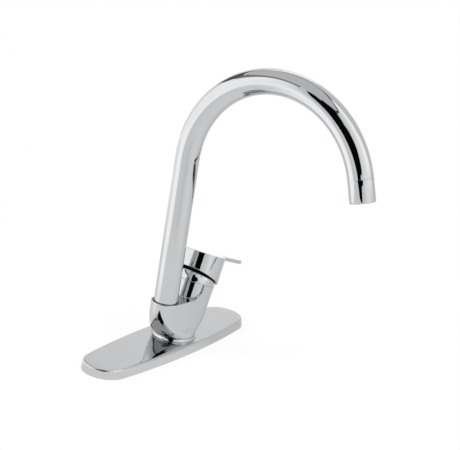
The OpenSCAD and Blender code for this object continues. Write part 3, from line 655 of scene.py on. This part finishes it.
def make_body():
    step = BODY_STEP
    low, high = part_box("mixer_body")
    pad = 1.5
    low = [v * 1000 - pad for v in low]
    high = [v * 1000 + pad for v in high]
    points, faces, normals = skin(body_field, low, high, step)
    mesh = mesh_of("mixer body casting", points, faces, CHROME_CAST, normals)
    return new_piece("mixer_body_casting", mesh, "root", "chrome", "mixer_body")


# ---------------------------------------------------------------- lever
def lever_field(b):
    """The handle in the barrel's frame, its origin at the stem pin."""
    x, y, z = b[:, 0], b[:, 1], b[:, 2]
    r = np.hypot(x, y)
    half = LEVER_ROOT_W / 2 + (LEVER_TIP_W - LEVER_ROOT_W) / 2 * (x - CAP_R) / (LEVER_REACH - CAP_R)
    blade_plan = common(np.abs(y) - half, x - LEVER_REACH, LEVER_CORNER)
    blade_plan = np.maximum(blade_plan, -x)
    skirt = (SKIRT_MID - z) * math.cos(SKIRT_SLOPE) - x * math.sin(SKIRT_SLOPE)
    blade = common(blade_plan, CAP_TOP - LEVER_THICK - z, BLADE_EDGE)
    cap = common(r - CAP_R, skirt, SKIRT_EDGE)
    cap = np.maximum(cap, -np.maximum(r - CAP_R + CAP_WALL, z - CAP_TOP + CAP_ROOF))
    metal = joined(cap, np.maximum(blade, ROOT_START - x), ROOT_FILLET)
    # Boss for the stem, and the rib that holds the set screw
    depth = np.maximum(CAP_TOP - CAP_ROOF - BOSS_LEN - z, z - CAP_TOP + OVERLAP)
    boss = np.maximum(r - BOSS_R, depth)
    rib = np.maximum(np.abs(y) - SET_SCREW_R - RIB_SIDE, np.maximum(-x, x - CAP_R + OVERLAP))
    metal = np.minimum(metal, np.minimum(boss, np.maximum(rib, depth)))
    metal = common(metal, z - CAP_TOP, BLADE_EDGE)
    square = np.maximum(np.abs(x), np.abs(y)) - STEM_W / 2 - PLAY
    socket = np.maximum(square, z - CAP_TOP + CAP_ROOF)
    metal = np.maximum(metal, -np.maximum(socket, STEM_SOCKET_FLOOR - z))
    screw_z = CAP_TOP - CAP_ROOF - BOSS_LEN / 2
    from_screw = np.hypot(y, z - screw_z)
    screw = np.maximum(from_screw - SET_SCREW_R - PLAY, -x + STEM_W / 2)
    seat = np.maximum(from_screw - PLUG_R - PLAY, -x + CAP_R - PLUG_LEN - 2 * PLAY)
    return np.maximum(metal, -np.minimum(screw, seat))


def make_lever():
    step = LEVER_STEP
    pad, far_pad, skirt_low = 1.3, 1.5, -2.0
    low = (-CAP_R - pad, -CAP_R - pad, skirt_low)
    high = (LEVER_REACH + far_pad, CAP_R + far_pad, CAP_TOP + far_pad)
    points, faces, normals = skin(lever_field, low, high, step)
    points = barrel_frame(points + np.array([0, 0, BARREL_LEN]), True)
    mesh = mesh_of("lever and cap", points, faces, CHROME_CAST, barrel_direction(normals))
    return new_piece("lever_and_cap", mesh, "lever", "chrome", "lever_handle")


# ---------------------------------------------------------------- turned covers
def dome_arc(radius, start, end, steps):
    """Profile points on a ball about the stem pin, their angles counted from the axis."""
    angles = [start + (end - start) * k / steps for k in range(steps + 1)]
    return [(radius * math.sin(a), radius * math.cos(a)) for a in angles]


def make_bonnet():
    pivot = barrel_frame(np.array([[0, 0, BARREL_LEN]]), True)[0]
    equator = math.pi / 2
    over_spigot, foot_inset = 0.06, 0.35
    dome = dome_arc(BONNET_R, equator, math.asin(BONNET_HOLE_R / BONNET_R), 24)
    hole = math.asin(BONNET_HOLE_R / BONNET_BORE_R)
    inside = dome_arc(BONNET_BORE_R, hole, equator - over_spigot, 16)
    foot = [(BONNET_R - foot_inset, 0.0), (BONNET_R - CHAMFER, CHAMFER)]
    spigot = [(SPIGOT_BORE_R, SPIGOT_TOP), (SPIGOT_BORE_R, -SPIGOT_DROP),
              (SPIGOT_R - CHAMFER, -SPIGOT_DROP), (SPIGOT_R, CHAMFER - SPIGOT_DROP),
              (SPIGOT_R, 0.0)]
    profile = foot + dome[1:] + inside + spigot
    mesh = lathe(profile, pivot, barrel_axis(), CHROME_CAST, "domed bonnet")
    return new_piece("domed_bonnet", mesh, "root", "chrome", "bonnet")


def make_foot_ring():
    play, low_edge, top_edge = 0.1, 0.3, 0.7
    bore, top = TENON_R + play, FOOT_RING_R - FOOT_FLARE
    corners = [(bore, 0), (FOOT_RING_R, 0), (top, FOOT_RING_H), (bore, FOOT_RING_H)]
    profile = rounded(corners, (0, low_edge, top_edge, 0))
    mesh = lathe(profile, (FOOT_X, 0, PLATE_HEIGHT), (0, 0, 1), CHROME_CAST, "foot ring")
    return new_piece("turned_foot_ring", mesh, "root", "chrome", "foot_ring")


def outlet_frame():
    """Where the tube ends and the way it points."""
    t = BEND_ANGLE
    end = np.array([RISER_X, -BEND_R + BEND_R * math.cos(t),
                    PLATE_HEIGHT + RISER_H + BEND_R * math.sin(t)])
    return end, np.array([0.0, -math.sin(t), math.cos(t)])


def make_sleeve():
    end, way = outlet_frame()
    spigot_play, seat_wall, bore_wall = 0.4, 1.5, 3.1
    spigot_edge, seam_edge, lip_edge = 0.3, 0.25, 1.45
    spigot_r = TUBE_R - TUBE_WALL - spigot_play
    seat_r, bore_r = TUBE_R - seat_wall, TUBE_R - bore_wall
    corners = [(bore_r, -SLEEVE_SPIGOT), (spigot_r, -SLEEVE_SPIGOT), (spigot_r, 0), (TUBE_R, 0),
               (TUBE_R, SLEEVE_LEN), (seat_r, SLEEVE_LEN), (seat_r, AERATOR_SEAT),
               (bore_r, AERATOR_SEAT)]
    profile = rounded(corners, (0, spigot_edge, 0, seam_edge, lip_edge, 0, 0, 0))
    mesh = lathe(profile, end, way, CHROME_TUBE, "outlet sleeve", 128)
    return new_piece("turned_outlet_sleeve", mesh, "spout", "chrome", "outlet_sleeve")


# ---------------------------------------------------------------- deck plate
def plate_outline(share, inset, turns):
    """The plate's outline between its foot line (0) and its top face (1).

    Each turn is a quarter's two signs and a number from 0 at the plate's end to 1 at the
    middle of its side; the end's arc and the side's take half of it each."""
    side_r = PLATE_SIDE_RADIUS + (PLATE_TOP_RADIUS - PLATE_SIDE_RADIUS) * share - inset
    half_l = PLATE_LENGTH / 2 - PLATE_END_DRAW * share - inset
    half_w = (PLATE_WIDTH + (PLATE_TOP_WIDTH - PLATE_WIDTH) * share) / 2 - inset
    r = (2 * side_r * half_w - half_w ** 2 - half_l ** 2) / (2 * side_r - 2 * half_l)
    cx = half_l - r
    limit = math.atan2(side_r - half_w, cx)
    points = []
    for quarter, t in turns:
        if t < 0.5:
            a = limit * t / 0.5
            x, y = cx + r * math.cos(a), r * math.sin(a)
        else:
            a = limit + (math.pi / 2 - limit) * (t - 0.5) / 0.5
            x, y = side_r * math.cos(a), side_r * math.sin(a) - (side_r - half_w)
        points.append((x * quarter[0], y * quarter[1]))
    return np.array(points)


def make_deck_plate():
    quarter_steps, side_steps, rim_steps, top_steps = 48, 8, 8, 6
    side_start = 0.04
    foot_inset, foot_break, foot_rise = 0.25, 0.05, 0.1
    turns = []
    for i, quarter in enumerate(((1, 1), (-1, 1), (-1, -1), (1, -1))):
        shares = [k / quarter_steps for k in range(quarter_steps)]
        turns += [(quarter, t if i % 2 == 0 else 1 - t) for t in shares]
    count = len(turns)
    rows = []

    def row(share, inset, z):
        rows.append(np.column_stack([plate_outline(share, inset, turns), np.full(count, z)]))

    def between(outer, inner, t, z):
        rows.append(np.column_stack([outer * (1 - t) + inner * t, np.full(count, z)]))

    # Foot line, drawn side and rounded rim
    rim_share = 1 - PLATE_RIM_HEIGHT / PLATE_HEIGHT
    row(0, foot_inset, 0.0)
    row(0, foot_break, foot_rise)
    for k in range(side_steps + 1):
        share = side_start + (rim_share - side_start) * (k / side_steps)
        row(share, 0, share * PLATE_HEIGHT)
    for k in range(1, rim_steps + 1):
        a = math.pi / 2 * k / rim_steps
        row(rim_share, PLATE_RIM_DEPTH * (1 - math.cos(a)),
            PLATE_HEIGHT - PLATE_RIM_HEIGHT + PLATE_RIM_HEIGHT * math.sin(a))
    # Top face in to the hole, and back under it
    edge = rows[-1][:, :2]
    angle = np.arctan2(edge[:, 1], edge[:, 0])
    ring = np.column_stack([PLATE_HOLE_X + PLATE_HOLE_R * np.cos(angle),
                            PLATE_HOLE_R * np.sin(angle)])
    for k in range(1, top_steps + 1):
        between(edge, ring, k / top_steps, PLATE_HEIGHT)
    under = PLATE_HEIGHT - PLATE_WALL
    rows.append(np.column_stack([ring, np.full(count, under)]))
    inner_top = plate_outline(under / PLATE_HEIGHT, PLATE_WALL, turns)
    for t in (0.5, 1.0):
        between(ring, inner_top, t, under)
    row(0, PLATE_WALL, 0.0)
    faces = []
    levels = len(rows)
    for k in range(levels):
        m = (k + 1) % levels
        for i in range(count):
            j = (i + 1) % count
            faces.append((k * count + i, k * count + j, m * count + j, m * count + i))
    mesh = sharpen(mesh_of("deck plate", np.concatenate(rows), faces, CHROME_PRESSED), 40)
    return new_piece("pressed_deck_plate", mesh, "root", "chrome", "deck_plate")


make_spout_tube()
make_body()
make_lever()
make_bonnet()
make_foot_ring()
make_sleeve()
make_deck_plate()


# ---------------------------------------------------------------- studio
WALL_AT = 1.6
CEILING_AT = 1.52
CEILING_R = 2.4
TABLE_R = 12.0
CARD_GAP = 0.01          # cards hang this far before the wall and below the ceiling
OVER_CARD = 0.005        # and those in front of another card this far
CARD_ON_TABLE = 0.002

# Soft patches of light. Azimuth and half width in degrees, softness of the right and of the
# left side, where the patch starts and ends in metres (None: no end), the softness of that,
# and the patch's tone. On the wall the metres are its height, on floor and ceiling the
# distance from the mixer's middle. Each set begins with the plain tone, 1 for white.
WALL_LIGHT = (1.0, (
    (-74, 24, 10, 14, 0.54, None, 0.35, 1.54),    # right softbox
    (-102, 17, 20, 13, 0.05, None, 0.12, 1.26),   # its glow on the left
    (-23, 27, 12, 11, None, None, 0.5, 0.83),     # dim side beyond it
    (121, 37, 17, 16, None, 1.18, 0.24, 1.46),    # left softbox
    (27, 14, 9, 9, 0.3, None, 0.16, 0.97),        # wall below the window
    (50, 9, 9, 5, None, None, 0.15, 0.88),        # wall beside the left softbox's frame
    (164, 4, 4, 2, None, None, 0.2, 0.9),         # gap between softbox and cloth
    (-151, 29, 22, 19, None, 0.54, 0.2, 0.94),    # foot of the cloth
))
FLOOR_LIGHT = (0.98, (
    (99, 47, 12, 8, 0.46, None, 0.2, 1.18),       # left softbox's light, far out
    (136, 23, 15, 7, 0.15, None, 0.12, 1.54),     # its brightest part
    (67, 8, 5, 6, 0.57, None, 0.18, 1.37),        # and its right edge
    (1, 44, 18, 14, None, None, 0.3, 0.83),       # dim floor on the far side
    (-98, 22, 20, 16, 0.21, None, 0.15, 1.08),    # right softbox's light
    (175, 16, 3, 16, 0.96, None, 0.16, 0.9),      # floor before the cloth
    (-150, 55, 20, 20, None, 0.4, 0.1, 1.03),     # floor close to the mixer
    (-147, 12, 9, 9, 0.45, None, 0.08, 0.92),     # shade under the camera
    (27, 13, 7, 7, 0.42, 0.85, 0.06, 1.12),       # light that falls in by the window
))
CEILING_LIGHT = (0.86, (
    (-111, 24, 23, 21, None, None, 0.4, 1.12),    # glow over the right softbox
    (-76, 18, 20, 10, None, None, 0.2, 1.55),     # its brightest part
    (35, 20, 8, 8, 1.1, None, 0.15, 1.5),         # over the window
))

# Curved cards: azimuth in degrees, lower and upper height in metres
CLOTH = ((166.3, 0.65, 1.3), (168, 0.58, 1.36), (170, 0.5, 1.45), (173, 0.42, CEILING_AT),
         (180, 0.36, CEILING_AT), (186, 0.3, CEILING_AT), (191.5, 0.2, CEILING_AT),
         (194, 0.1, CEILING_AT), (196, 0, CEILING_AT), (214, 0, CEILING_AT),
         (216, 0.2, CEILING_AT), (218, 0.42, CEILING_AT), (220.5, 0.44, CEILING_AT),
         (222, 0.46, 1.45), (226, 0.49, 1.3), (229, 0.55, 1.18), (230.5, 0.72, 1.02))
SOFTBOX_SIDE = ((58, 0.75, 1.42), (62, 0.62, 1.42), (66, 0.68, 1.42), (72, 0.8, 1.42),
                (80, 0.9, 1.42), (88, 0.98, 1.42), (96, 1.08, 1.42))
SOFTBOX_TOP = [(a, 1.13, CEILING_AT) for a in (96, 110, 125, 140, 150, 162)]
WINDOW = [(a, 1.0, CEILING_AT) for a in (12, 19, 26, 33)]

# Level cards: outline in metres
ROOF_CARD = ((-1.7, 0.02), (-1.3, -0.06), (-1.15, -0.25), (-0.95, -0.4), (-0.75, -0.53),
             (-0.57, -0.57), (-0.4, -0.58), (-0.2, -0.5), (-0.05, -0.43), (0.08, -0.33),
             (0.2, -0.24), (0.3, -0.15), (0.38, -0.05), (0.42, 0.1), (0.45, 0.3),
             (0.47, 0.55), (0.5, 1.7), (-1.7, 1.7))
ROOF_EDGE = ((-1.0, -0.58), (-0.75, -0.6), (-0.57, -0.63), (-0.4, -0.65), (-0.17, -0.58),
             (0, -0.49), (0.13, -0.4), (0.28, -0.35), (0.42, -0.22), (0.42, 0), (-1.0, 0))
ROOF_SHADE = ((0.42, -0.22), (0.52, -0.08), (0.6, 0.1), (0.66, 0.3), (0.7, 1.0), (0.7, 1.7),
              (0.3, 1.7), (0.3, 0))
CLOTH_ROOF = ((-1.7, -0.9), (-1.25, -0.8), (-1.1, -0.66), (-1.0, -0.58), (-1.0, 0.1),
              (-1.7, 0.1))
SOFTBOX_FOOT = ((0.57, -0.45), (0.52, -0.58), (0.45, -0.68), (0.38, -0.73), (0.27, -0.76),
                (0.2, -0.82), (0.17, -0.95), (0.12, -1.1), (0, -1.5), (-0.03, -1.5),
                (0.08, -1.08), (0.14, -0.95), (0.17, -0.8), (0.22, -0.7), (0.3, -0.64),
                (0.38, -0.57), (0.46, -0.44))
SOFTBOX_FOOT_SHADE = ((0.6, -0.15), (0.6, -0.3), (0.57, -0.45), (0.46, -0.44), (0.5, -0.3),
                      (0.52, -0.15))


def ray_switch(tree):
    """1 for what the camera, polished metal and glass see, 0 for the light that falls on things."""
    rays = tree.nodes.new("ShaderNodeLightPath")
    total = rays.outputs["Is Camera Ray"]
    for kind in ("Is Glossy Ray", "Is Transmission Ray"):
        total = math_step(tree, "MAXIMUM", total, rays.outputs[kind])
    return total


def stage_piece(name, corners, faces, finish, hidden=True):
    """A flat piece of the studio; polished metal sees it, and unless hidden the camera too."""
    mesh = bpy.data.meshes.new(name)
    mesh.from_pydata(corners, [], faces)
    mesh.materials.append(finish)
    piece = bpy.data.objects.new(name, mesh)
    bpy.context.scene.collection.objects.link(piece)
    if hidden:
        piece.visible_camera = False
        piece.visible_diffuse = False
        piece.visible_shadow = False
    return piece


def soft_step(tree, value, start, end, low=0.0, high=1.0):
    """A smooth passage from low to high while value goes from start to end."""
    node = tree.nodes.new("ShaderNodeMapRange")
    node.interpolation_type = "SMOOTHSTEP"
    node.inputs["From Min"].default_value = start
    node.inputs["From Max"].default_value = end
    node.inputs["To Min"].default_value = low
    node.inputs["To Max"].default_value = high
    tree.links.new(value, node.inputs["Value"])
    return node.outputs[0]


def round_the_mixer(tree):
    """Azimuth in degrees, distance from the mixer's middle and height of a studio point."""
    place = tree.nodes.new("ShaderNodeTexCoord")
    parts = tree.nodes.new("ShaderNodeSeparateXYZ")
    tree.links.new(place.outputs["Object"], parts.inputs[0])
    x, y, z = (parts.outputs[k] for k in ("X", "Y", "Z"))
    azimuth = math_step(tree, "MULTIPLY", math_step(tree, "ARCTAN2", y, x), 180 / math.pi)
    squares = math_step(tree, "MULTIPLY_ADD", x, x, math_step(tree, "MULTIPLY", y, y))
    return azimuth, math_step(tree, "SQRT", squares), z


def lit_tone(tree, azimuth, level, light):
    """A plain tone with soft-edged patches of other tones laid over it."""
    total, patches = light
    for middle, half, soft_right, soft_left, low, high, soft, tone in patches:
        turn = math_step(tree, "SUBTRACT", azimuth, middle)
        turn = math_step(tree, "WRAP", turn, 180, -180)
        covers = [soft_step(tree, turn, -half - soft_right, -half + soft_right),
                  soft_step(tree, turn, half - soft_left, half + soft_left, 1, 0)]
        if low is not None:
            covers.append(soft_step(tree, level, low - soft, low + soft))
        if high is not None:
            covers.append(soft_step(tree, level, high - soft, high + soft, 1, 0))
        cover = covers[0]
        for more in covers[1:]:
            cover = math_step(tree, "MULTIPLY", cover, more)
        mix = tree.nodes.new("ShaderNodeMix")
        tree.links.new(cover, mix.inputs["Factor"])
        if isinstance(total, float):
            mix.inputs["A"].default_value = total
        else:
            tree.links.new(total, mix.inputs["A"])
        mix.inputs["B"].default_value = tone
        total = mix.outputs["Result"]
    return total


def glow(name, tone=1.0, light=None, level="height"):
    """A glow of one tone, or of a set of patches that go by height or by distance."""
    finish = bpy.data.materials.new(name)
    finish.use_nodes = True
    tree = finish.node_tree
    tree.nodes.clear()
    lamp = tree.nodes.new("ShaderNodeEmission")
    lamp.inputs["Strength"].default_value = tone
    if light:
        azimuth, distance, height = round_the_mixer(tree)
        by = height if level == "height" else distance
        tree.links.new(lit_tone(tree, azimuth, by, light), lamp.inputs["Strength"])
    out = tree.nodes.new("ShaderNodeOutputMaterial")
    tree.links.new(lamp.outputs[0], out.inputs["Surface"])
    return finish


def make_floor():
    """A white table: it takes the mixer's shadow, and metal sees the softboxes' light on it."""
    finish = bpy.data.materials.new("white table")
    finish.use_nodes = True
    tree = finish.node_tree
    tree.nodes.clear()
    link = tree.links.new
    azimuth, distance, _ = round_the_mixer(tree)
    polished = tree.nodes.new("ShaderNodeLightPath").outputs["Is Glossy Ray"]
    seen = tree.nodes.new("ShaderNodeMix")
    seen.inputs["A"].default_value = 1.0
    link(polished, seen.inputs["Factor"])
    link(lit_tone(tree, azimuth, distance, FLOOR_LIGHT), seen.inputs["B"])
    white = tree.nodes.new("ShaderNodeEmission")
    link(seen.outputs["Result"], white.inputs["Strength"])
    cloth = tree.nodes.new("ShaderNodeBsdfDiffuse")
    cloth.inputs["Color"].default_value = (0.9, 0.9, 0.9, 1)
    # Close to the mixer the camera sees a little of the cloth's own shading, and so the shadow
    near, far, near_share = 0.12, 0.4, 0.88
    share = soft_step(tree, distance, near, far, near_share, 1.0)
    share = math_step(tree, "MAXIMUM", polished, share)
    mix = tree.nodes.new("ShaderNodeMixShader")
    link(math_step(tree, "MULTIPLY", ray_switch(tree), share), mix.inputs["Fac"])
    link(cloth.outputs[0], mix.inputs[1])
    link(white.outputs[0], mix.inputs[2])
    out = tree.nodes.new("ShaderNodeOutputMaterial")
    link(mix.outputs[0], out.inputs["Surface"])
    r = TABLE_R
    corners = [(-r, -r, 0), (r, -r, 0), (r, r, 0), (-r, r, 0)]
    stage_piece("table_top", corners, [(0, 1, 2, 3)], finish, hidden=False)


def curved_card(name, edges, finish, distance=WALL_AT - CARD_GAP):
    """A card bent round the mixer; edges gives azimuths, each with a lower and upper height."""
    corners, faces = [], []
    for k, (azimuth, low, high) in enumerate(edges):
        a = math.radians(azimuth)
        x, y = distance * math.cos(a), distance * math.sin(a)
        corners += [(x, y, low), (x, y, high)]
        if k:
            faces.append((2 * k - 2, 2 * k, 2 * k + 1, 2 * k - 1))
    return stage_piece(name, corners, faces, finish)


def flat_card(name, outline, height, finish):
    """A level card with its outline in metres."""
    corners = [(x, y, height) for x, y in outline]
    return stage_piece(name, corners, [tuple(range(len(outline)))], finish)


def make_surround():
    """What the chrome mirrors: soft walls and ceiling, cloth, softbox frames, window and cards."""
    around = [(a, 0, CEILING_AT) for a in range(-180, 181, 6)]
    curved_card("soft_walls", around, glow("soft walls", light=WALL_LIGHT), WALL_AT)
    black = glow("black cloth", 0.003)
    curved_card("black_cloth", CLOTH, black)
    curved_card("softbox_side", SOFTBOX_SIDE, glow("softbox side", 0.12))
    curved_card("softbox_top", SOFTBOX_TOP, glow("softbox top", 0.3))
    curved_card("window", WINDOW, glow("window", 1.5))
    angles = [math.radians(a) for a in range(0, 360, 15)]
    rim = [(CEILING_R * math.cos(a), CEILING_R * math.sin(a)) for a in angles]
    ceiling = glow("ceiling", light=CEILING_LIGHT, level="distance")
    flat_card("ceiling", rim, CEILING_AT, ceiling)
    # Grey card overhead, with its dark edge and the soft shade beside it
    hung, over = CEILING_AT - CARD_GAP, CEILING_AT - OVER_CARD
    flat_card("roof_card", ROOF_CARD, hung, glow("roof card", 0.78))
    flat_card("roof_edge", ROOF_EDGE, over, glow("roof edge", 0.12))
    flat_card("roof_shade", ROOF_SHADE, over, glow("roof shade", 0.45))
    flat_card("cloth_roof", CLOTH_ROOF, over, black)
    # Dark foot of the right softbox, on the table
    flat_card("softbox_foot", SOFTBOX_FOOT, CARD_ON_TABLE, glow("softbox foot", 0.08))
    flat_card("softbox_foot_shade", SOFTBOX_FOOT_SHADE, CARD_ON_TABLE,
              glow("softbox foot shade", 0.42))


def make_world():
    """Plain white for what is seen, a softer white for the light on things."""
    fill_strength, seen_strength = 0.7, 1.0
    world = bpy.data.worlds.new("white studio")
    bpy.context.scene.world = world
    world.use_nodes = True
    tree = world.node_tree
    tree.nodes.clear()
    mix = tree.nodes.new("ShaderNodeMixShader")
    tree.links.new(ray_switch(tree), mix.inputs["Fac"])
    for slot, strength in ((1, fill_strength), (2, seen_strength)):
        white = tree.nodes.new("ShaderNodeBackground")
        white.inputs["Color"].default_value = (1, 1, 1, 1)
        white.inputs["Strength"].default_value = strength
        tree.links.new(white.outputs[0], mix.inputs[slot])
    out = tree.nodes.new("ShaderNodeOutputWorld")
    tree.links.new(mix.outputs[0], out.inputs["Surface"])


def standing_at(spot, right, up, back):
    """The place of a lamp or camera: where it stands and its own three axes."""
    place = Matrix.Identity(4)
    for i in range(3):
        place[i][0], place[i][1], place[i][2], place[i][3] = right[i], up[i], back[i], spot[i]
    return place


def softbox_lamp(name, azimuth, distance, height, size, radiance):
    """An area lamp that faces the mixer; it lights the matt pieces and the table."""
    lamp = bpy.data.lights.new(name, "AREA")
    lamp.size = size
    lamp.energy = radiance * math.pi * size * size
    holder = bpy.data.objects.new(name, lamp)
    a = math.radians(azimuth)
    spot = np.array([distance * math.cos(a), distance * math.sin(a), height])
    back = spot / np.linalg.norm(spot)
    side = np.cross((0, 0, 1), back)
    side /= np.linalg.norm(side)
    holder.matrix_world = standing_at(spot, side, np.cross(back, side), back)
    holder.visible_camera = False
    holder.visible_glossy = False
    bpy.context.scene.collection.objects.link(holder)


def make_lamps():
    softbox_lamp("left_lamp", azimuth=125, distance=1.5, height=0.9, size=1.1, radiance=6.0)
    softbox_lamp("front_right_lamp", azimuth=-85, distance=1.5, height=1.1, size=1.1, radiance=5.0)


def make_camera():
    """Camera at the photograph's angle: where it stands, its turn, its tip and its roll."""
    turn, tip, roll = (math.radians(v) for v in (-59.545, 16.573, 9.331))
    spot = (-1.011065, -0.647296, 0.497224)
    focal_px, image_px = 1230.026, 460.0
    data = bpy.data.cameras.new("camera")
    data.sensor_width = 36.0
    data.lens = focal_px * data.sensor_width / image_px
    camera = bpy.data.objects.new("camera", data)
    bpy.context.scene.collection.objects.link(camera)
    back = np.array([math.sin(turn) * math.cos(tip), -math.cos(turn) * math.cos(tip),
                     math.sin(tip)])
    level = np.array([math.cos(turn), math.sin(turn), 0.0])
    upright = np.cross(back, level)
    right = level * math.cos(roll) + upright * math.sin(roll)
    up = upright * math.cos(roll) - level * math.sin(roll)
    camera.matrix_world = standing_at(spot, right, up, back)
    bpy.context.scene.camera = camera


make_floor()
make_surround()
make_world()
make_lamps()
make_camera()
bpy.context.scene.view_settings.view_transform = "Standard"
